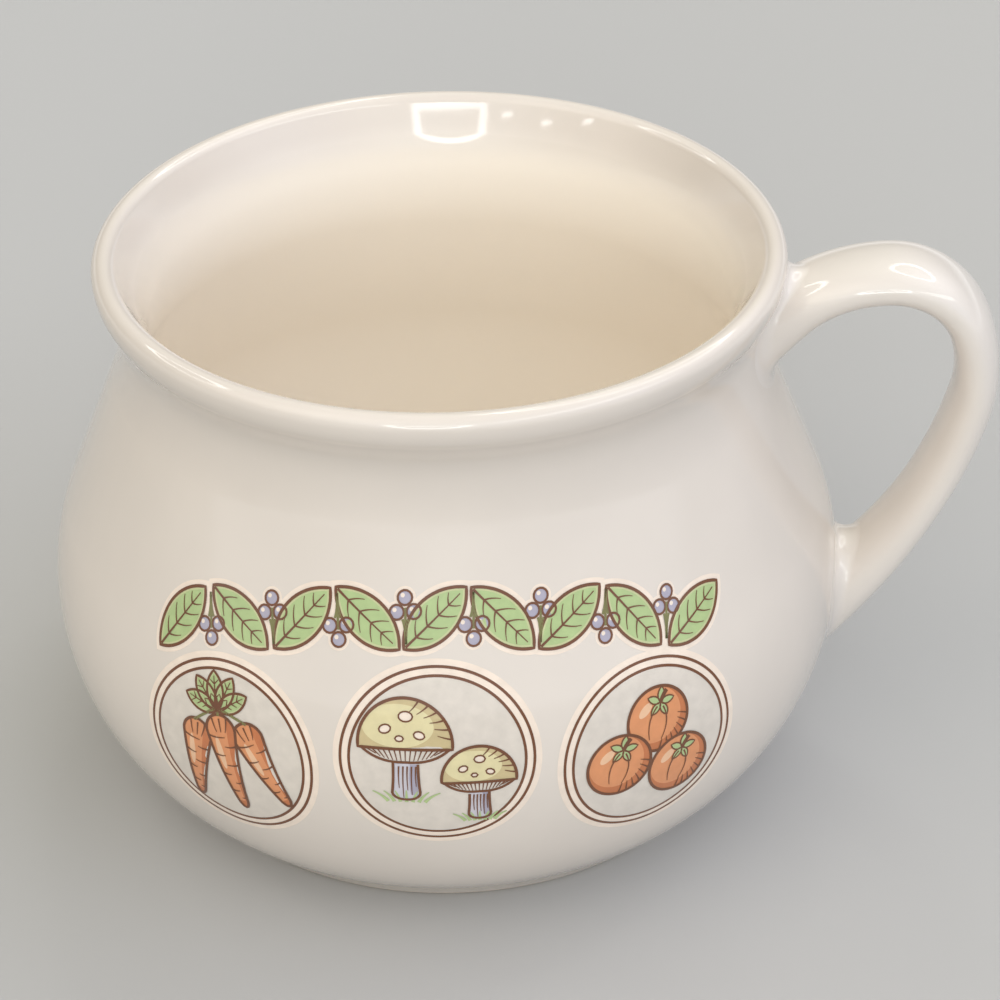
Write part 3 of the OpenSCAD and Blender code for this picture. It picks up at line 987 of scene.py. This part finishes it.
def draw_print():
    """The whole print, in layers by ink, each named for its piece and its node."""
    low, middle, high = ink_lift, ink_lift * 2, ink_lift * 3
    layers = {
        "cover": Ink("print_cover_ink", "print_cover", "ink_cover", 0, ["cream", "ground"]),
        "green": Ink("print_green_ink", "print_green", "ink_green", low, ["green", "leaf_edge"]),
        "orange": Ink("print_orange_ink", "print_orange", "ink_orange", low, ["orange", "rust", "peach"]),
        "yellow": Ink("print_yellow_ink", "print_yellow", "ink_yellow", low, ["yellow", "straw", "cream"]),
        "blue": Ink("print_blue_ink", "print_blue", "ink_blue", low, ["lilac", "slate", "ground"]),
        "brown": Ink("print_brown_ink", "print_brown", "ink_brown", low, ["brown"]),
        "berries": Ink("print_berries", None, "ink_blue", low, ["slate", "cream"]),
        "sprigs": Ink("print_sprigs", None, "ink_green", middle, ["green"]),
        "lines": Ink("print_lines", None, "ink_brown", high, ["brown", "olive"]),
    }
    draw_garland(layers)
    for turn in roundel_turns:
        outer = circle(roundel_r + halo_w, n=96)
        rim = circle(roundel_r - ring_line_w / 2, n=96)
        inner = circle(ring_inner_r, n=96)
        layers["cover"].paint(turn, roundel_z, [(outer, 0), (inner, 1)])
        for ring in (rim, inner):
            layers["brown"].line(turn, roundel_z, ring, ring_line_w, closed=True)
    draw_roots(layers, roundel_turns[0], roundel_z)
    draw_mushrooms(layers, roundel_turns[1], roundel_z)
    draw_fruit(layers, roundel_turns[2], roundel_z)
    for layer in layers.values():
        layer.make()


make_bowl()
make_handle()
make_slip("upper_fillet", "upper_slip_joint", upper_hits, 1, *upper_slip)
make_slip("lower_fillet", "lower_slip_joint", lower_hits, -1, *lower_slip)
draw_print()


# Camera: a long lens from the front, a little to the right, looking down

camera_azimuth = 4.9
camera_place = (8.82, -411.3, 315)
camera_down = 33.36
camera_roll = -0.85


def make_camera():
    camera = bpy.data.objects.new("camera", bpy.data.cameras.new("camera"))
    bpy.context.scene.collection.objects.link(camera)
    camera.data.lens = 108
    camera.data.sensor_width = 36
    camera.data.clip_start = 0.01
    turned = Matrix.Rotation(radians(camera_azimuth), 4, "Z")
    place = Matrix.Translation(to_metres(camera_place))
    tilt = Matrix.Rotation(radians(90 - camera_down), 4, "X")
    roll = Matrix.Rotation(radians(camera_roll), 4, "Z")
    camera.matrix_world = turned @ place @ tilt @ roll
    bpy.context.scene.camera = camera


# Stage and lights

floor_rings = (100, 300, 1000, 3000, 8000)
floor_sides = 96


def make_floor():
    """A wide, flat, plain pale floor without shine."""
    mat = bpy.data.materials.new("floor_tone")
    mat.use_nodes = True
    shader = mat.node_tree.nodes["Principled BSDF"]
    shader.inputs["Base Color"].default_value = (0.50, 0.495, 0.485, 1)
    shader.inputs["Roughness"].default_value = 0.9
    shader.inputs["Specular IOR Level"].default_value = 0.1
    angles = [2 * pi * i / floor_sides for i in range(floor_sides)]
    points = [(0, 0, 0)] + [(r * cos(a), r * sin(a), 0) for r in floor_rings for a in angles]
    faces = [(0, 1 + i, 1 + (i + 1) % floor_sides) for i in range(floor_sides)]
    for first in range(1, len(points) - floor_sides, floor_sides):
        for i in range(floor_sides):
            p = first + i
            q = first + (i + 1) % floor_sides
            faces.append((p, p + floor_sides, q + floor_sides, q))
    mesh = bpy.data.meshes.new("floor")
    mesh.from_pydata([to_metres(p) for p in points], [], faces)
    mesh.materials.append(mat)
    obj = bpy.data.objects.new("floor", mesh)
    bpy.context.scene.collection.objects.link(obj)


def towards(azimuth, elevation):
    """A direction: azimuth from the camera's side, to the right, and elevation, in degrees."""
    a = radians(azimuth - 90 + camera_azimuth)
    e = radians(elevation)
    return Vector((cos(a) * cos(e), sin(a) * cos(e), sin(e)))


class Sky:
    """The world: soft light from all round, brighter in some directions, and a white background."""

    glow_tightness = 8
    oval_edge = (0.85, 1.15)
    flat_edge = 0.4
    horizon = 7.5
    horizon_edge = 6.5

    def __init__(self):
        world = bpy.data.worlds.new("studio")
        bpy.context.scene.world = world
        world.use_nodes = True
        self.tree = world.node_tree
        self.place = self.tree.nodes.new("ShaderNodeTexCoord").outputs["Generated"]
        split = self.tree.nodes.new("ShaderNodeSeparateXYZ")
        self.tree.links.new(self.place, split.inputs[0])
        self.height = split.outputs["Z"]
        self.total = None

    def math(self, operation, *values):
        """The result of a sum on plain numbers or other results."""
        node = self.tree.nodes.new("ShaderNodeMath")
        node.operation = operation
        for socket, value in zip(node.inputs, values):
            if isinstance(value, (int, float)):
                socket.default_value = value
            else:
                self.tree.links.new(value, socket)
        return node.outputs[0]

    def nearness(self, azimuth, elevation):
        """The cosine of the angle from this direction."""
        node = self.tree.nodes.new("ShaderNodeVectorMath")
        node.operation = "DOT_PRODUCT"
        node.inputs[1].default_value = towards(azimuth, elevation)
        self.tree.links.new(self.place, node.inputs[0])
        return node.outputs["Value"]

    def step(self, value, low, high):
        """0 below one value and 1 above another, with a soft change between them."""
        node = self.tree.nodes.new("ShaderNodeMapRange")
        node.interpolation_type = "SMOOTHSTEP"
        node.inputs["From Min"].default_value = low
        node.inputs["From Max"].default_value = high
        self.tree.links.new(value, node.inputs["Value"])
        return node.outputs["Result"]

    def above(self, elevation, edge):
        """1 above an elevation, falling to 0 below it over a soft edge."""
        return self.step(self.height, sin(radians(elevation - edge)), sin(radians(elevation + edge)))

    def scaled(self, colour, amount):
        """A colour times an amount."""
        node = self.tree.nodes.new("ShaderNodeVectorMath")
        node.operation = "SCALE"
        if isinstance(colour, tuple):
            node.inputs[0].default_value = colour
        else:
            self.tree.links.new(colour, node.inputs[0])
        self.tree.links.new(amount, node.inputs["Scale"])
        return node.outputs[0]

    def add(self, amount, colour):
        """More light of one colour, by an amount that varies over the sky."""
        tint = self.scaled(colour, amount)
        if self.total is None:
            self.total = tint
            return
        joined = self.tree.nodes.new("ShaderNodeVectorMath")
        joined.operation = "ADD"
        self.tree.links.new(self.total, joined.inputs[0])
        self.tree.links.new(tint, joined.inputs[1])
        self.total = joined.outputs[0]

    def glow(self, azimuth, elevation, colour):
        """A soft glow that is brightest in one direction."""
        near = self.math("MAXIMUM", self.nearness(azimuth, elevation), 0)
        self.add(self.math("POWER", near, self.glow_tightness), colour)

    def oval(self, azimuth, elevation, half_width, half_height, top=None):
        """1 within an oval of directions and 0 outside its soft edge; it can be cut off flat at a top."""
        across = self.nearness(azimuth + 90, 0)
        upward = self.nearness(azimuth, elevation + 90)
        ahead = self.math("MAXIMUM", self.nearness(azimuth, elevation), 0.001)
        across = self.math("DIVIDE", across, self.math("MULTIPLY", ahead, tan(radians(half_width))))
        upward = self.math("DIVIDE", upward, self.math("MULTIPLY", ahead, tan(radians(half_height))))
        squares = [self.math("MULTIPLY", value, value) for value in (across, upward)]
        shape = self.math("SUBTRACT", 1, self.step(self.math("ADD", *squares), *self.oval_edge))
        if top:
            shape = self.math("MULTIPLY", shape, self.math("SUBTRACT", 1, self.above(top, self.flat_edge)))
        return shape

    def lamp(self, colour, whole, hole=None):
        """An oval lamp, or an oval ring of light round a dark hole."""
        shape = self.oval(*whole)
        if hole:
            shape = self.math("MAXIMUM", self.math("SUBTRACT", shape, self.oval(*hole)), 0)
        self.add(shape, colour)

    def finish(self):
        """No light comes from the horizon, reflections see it as white, and the camera sees all white."""
        high = self.above(self.horizon, self.horizon_edge)
        self.total = self.scaled(self.total, high)
        path = self.tree.nodes.new("ShaderNodeLightPath")
        mirrored = self.math("MAXIMUM", path.outputs["Is Glossy Ray"], path.outputs["Is Transmission Ray"])
        self.add(self.math("MULTIPLY", mirrored, self.math("SUBTRACT", 1, high)), (1, 1, 1))
        back = self.tree.nodes["Background"]
        self.tree.links.new(self.total, back.inputs["Color"])
        white = self.tree.nodes.new("ShaderNodeBackground")
        white.inputs["Color"].default_value = (1, 1, 1, 1)
        mix = self.tree.nodes.new("ShaderNodeMixShader")
        self.tree.links.new(path.outputs["Is Camera Ray"], mix.inputs["Fac"])
        self.tree.links.new(back.outputs[0], mix.inputs[1])
        self.tree.links.new(white.outputs[0], mix.inputs[2])
        self.tree.links.new(mix.outputs[0], self.tree.nodes["World Output"].inputs["Surface"])


# The soft glows: azimuth, elevation and colour
glows = [
    (-60, 50, (1.67, 1.54, 1.35)),
    (0, 22, (1.29, 1.40, 1.46)),
    (0, 50, (0.54, 0.54, 0.50)),
    (60, 22, (0.58, 0.66, 0.89)),
    (60, 50, (0.41, 0.43, 0.50)),
    (120, 50, (1.42, 1.42, 1.56)),
    (180, 50, (0.63, 0.65, 0.49)),
]

# The lamps that the glaze reflects as rings, streaks and dots: azimuth, elevation, half width, half height
front_ring = [(-4, 30, 12.3, 18, 34.7), (-4, 32, 9.9, 13.5, 31.9)]
left_ring = [(-120, 47, 16, 9), (-120, 47, 13.5, 6.5)]
back_ring = [(146, 55, 18, 14), (146, 55, 15.5, 11.5)]
right_lamp = (52, 40, 29, 5)
dots = [(-26, 30.2), (-41, 27.8), (-57, 26.5)]
dot_size = (2, 0.35)


def make_sky():
    sky = Sky()
    for azimuth, elevation, colour in glows:
        sky.glow(azimuth, elevation, colour)
    sky.lamp((6, 6, 5.9), *front_ring)
    for ring in (left_ring, back_ring):
        sky.lamp((5, 5, 4.8), *ring)
    sky.lamp((2.4, 2.4, 2.3), right_lamp)
    for place in dots:
        sky.lamp((9, 9, 9), (*place, *dot_size))
    sky.finish()


make_camera()
make_floor()
make_sky()
bpy.context.scene.view_settings.view_transform = "Standard"
